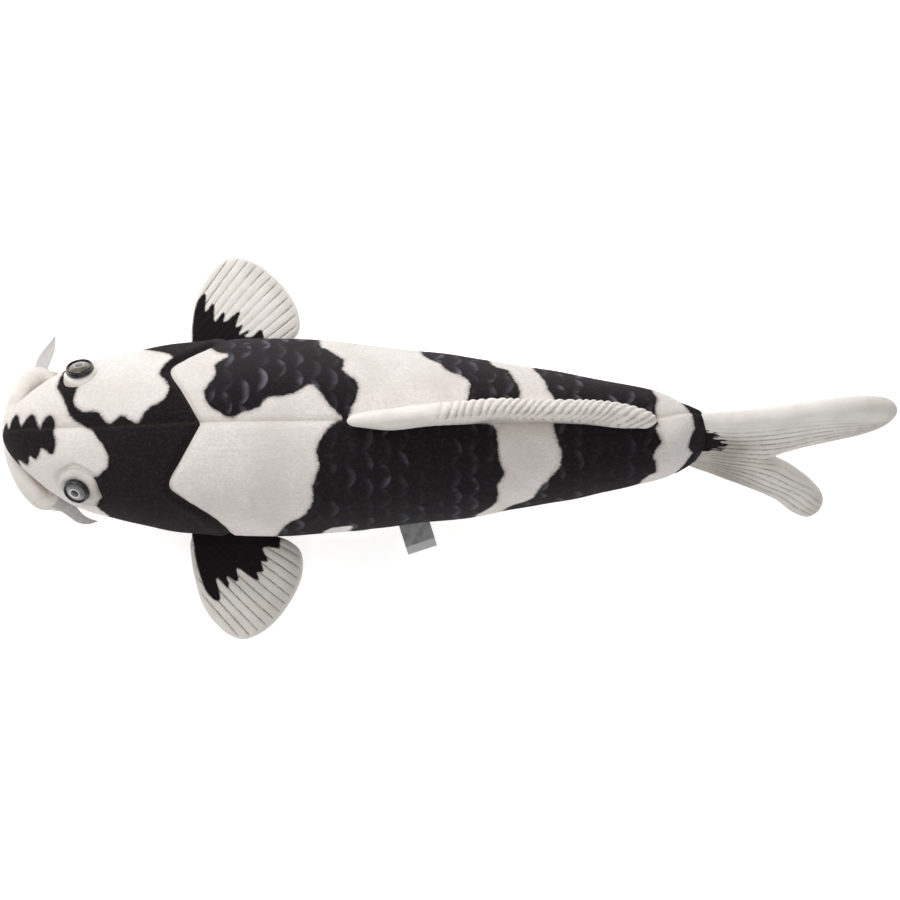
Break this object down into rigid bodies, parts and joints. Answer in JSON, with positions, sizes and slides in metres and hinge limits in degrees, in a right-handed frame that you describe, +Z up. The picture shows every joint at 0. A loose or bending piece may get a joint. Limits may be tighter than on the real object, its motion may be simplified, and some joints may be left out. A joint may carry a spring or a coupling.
{
  "type": "plush fish",
  "caption": "Stuffed koi carp soft toy with padded fins that flex at their seams, button eyes, stuffed lips, barbels and a flat belly to rest on.",
  "frame": {"origin": "middle of the flat patch that the belly rests on", "axes": "+X from the snout to the tail, +Y to the fish's own right, +Z up"},
  "size_m": [0.4294, 0.1904, 0.1212],
  "materials": {
    "printed_plush": "short-pile plush, warm white with printed black patches",
    "fin_plush": "short-pile plush, cream with printed grey rays",
    "cream_plush": "short-pile plush",
    "polyester_fibre": "loose fibre",
    "grey_felt": "felt",
    "eye_plastic": "polished",
    "iris_plastic": "polished",
    "washer_plastic": "satin",
    "satin_ribbon": "satin ribbon",
    "thread": "twisted thread"
  },
  "bodies": {
    "trunk": {"back_panel_left": "printed_plush", "back_panel_right": "printed_plush", "belly_panel": "printed_plush", "body_filling": "polyester_fibre", "closing_stitches": "thread", "eye_button_left": "eye_plastic", "eye_button_right": "eye_plastic", "eye_lens_left": "iris_plastic", "eye_lens_right": "iris_plastic", "eye_pad_left": "printed_plush", "eye_pad_right": "printed_plush", "eye_washer_left": "washer_plastic", "eye_washer_right": "washer_plastic", "head_panel_left": "printed_plush", "head_panel_right": "printed_plush", "head_underside_panel": "printed_plush", "lower_lip": "cream_plush", "upper_lip": "cream_plush"},
    "pectoral_fin_left": {"pectoral_fin_left_upper_cover": "fin_plush", "pectoral_fin_left_lower_cover": "fin_plush", "pectoral_fin_left_batting": "polyester_fibre"},
    "pectoral_fin_right": {"pectoral_fin_right_upper_cover": "fin_plush", "pectoral_fin_right_lower_cover": "fin_plush", "pectoral_fin_right_batting": "polyester_fibre"},
    "pelvic_fin_left": {"pelvic_fin_left_upper_cover": "fin_plush", "pelvic_fin_left_lower_cover": "fin_plush"},
    "pelvic_fin_right": {"pelvic_fin_right_upper_cover": "fin_plush", "pelvic_fin_right_lower_cover": "fin_plush"},
    "dorsal_fin": {"dorsal_fin_left_cover": "fin_plush", "dorsal_fin_right_cover": "fin_plush", "dorsal_fin_batting": "polyester_fibre"},
    "anal_fin": {"anal_fin_left_cover": "fin_plush", "anal_fin_right_cover": "fin_plush"},
    "tail_fin": {"tail_fin_left_cover": "fin_plush", "tail_fin_right_cover": "fin_plush", "tail_fin_batting": "polyester_fibre"},
    "left_barbel": {"barbel_left": "grey_felt"},
    "right_barbel": {"barbel_right": "grey_felt"},
    "label": {"side_label": "satin_ribbon"}
  },
  "joints": [
    {"name": "pectoral_fin_left_flap", "type": "hinge", "parent": "trunk", "child": "pectoral_fin_left", "pos_m": [-0.0575, -0.0426, 0.0168], "axis": [-1, 0, 0], "range_deg": [-8, 22], "stiffness_Nm_per_rad": 0.03},
    {"name": "pectoral_fin_right_flap", "type": "hinge", "parent": "trunk", "child": "pectoral_fin_right", "pos_m": [-0.0575, 0.0426, 0.0168], "axis": [0.9903, 0.1392, 0], "range_deg": [-8, 22], "stiffness_Nm_per_rad": 0.03},
    {"name": "pelvic_fin_left_flap", "type": "hinge", "parent": "trunk", "child": "pelvic_fin_left", "pos_m": [-0.01, -0.0288, 0.0064], "axis": [-1, 0, 0], "range_deg": [-10, 8], "stiffness_Nm_per_rad": 0.003},
    {"name": "pelvic_fin_right_flap", "type": "hinge", "parent": "trunk", "child": "pelvic_fin_right", "pos_m": [-0.01, 0.0288, 0.0064], "axis": [1, 0, 0], "range_deg": [-10, 8], "stiffness_Nm_per_rad": 0.003},
    {"name": "dorsal_fin_lean", "type": "hinge", "parent": "trunk", "child": "dorsal_fin", "pos_m": [0.076, 0.00275, 0.08278], "axis": [0.9864, 0.026, -0.1625], "range_deg": [-20, 25], "stiffness_Nm_per_rad": 0.05},
    {"name": "anal_fin_sway", "type": "hinge", "parent": "trunk", "child": "anal_fin", "pos_m": [0.112, -0.0042, 0.0146], "axis": [0.9588, 0, 0.284], "range_deg": [-18, 18], "stiffness_Nm_per_rad": 0.003},
    {"name": "tail_fin_swing", "type": "hinge", "parent": "trunk", "child": "tail_fin", "pos_m": [0.1726, 0.001, 0.0475], "axis": [0.0389, 0.6696, 0.7417], "range_deg": [-25, 10], "stiffness_Nm_per_rad": 0.08},
    {"name": "barbel_left_bend", "type": "hinge", "parent": "trunk", "child": "left_barbel", "pos_m": [-0.1402, -0.029, 0.028], "axis": [0.6247, 0.7809, 0], "range_deg": [-25, 25], "stiffness_Nm_per_rad": 0.0006},
    {"name": "barbel_right_bend", "type": "hinge", "parent": "trunk", "child": "right_barbel", "pos_m": [-0.1474, 0.0359, 0.028], "axis": [0.943, -0.3328, 0], "range_deg": [-25, 25], "stiffness_Nm_per_rad": 0.0006},
    {"name": "label_flip", "type": "hinge", "parent": "trunk", "child": "label", "pos_m": [0.0308, -0.0322, 0.0116], "axis": [-0.9511, -0.309, 0], "range_deg": [-5, 40], "stiffness_Nm_per_rad": 0.0006}
  ]
}
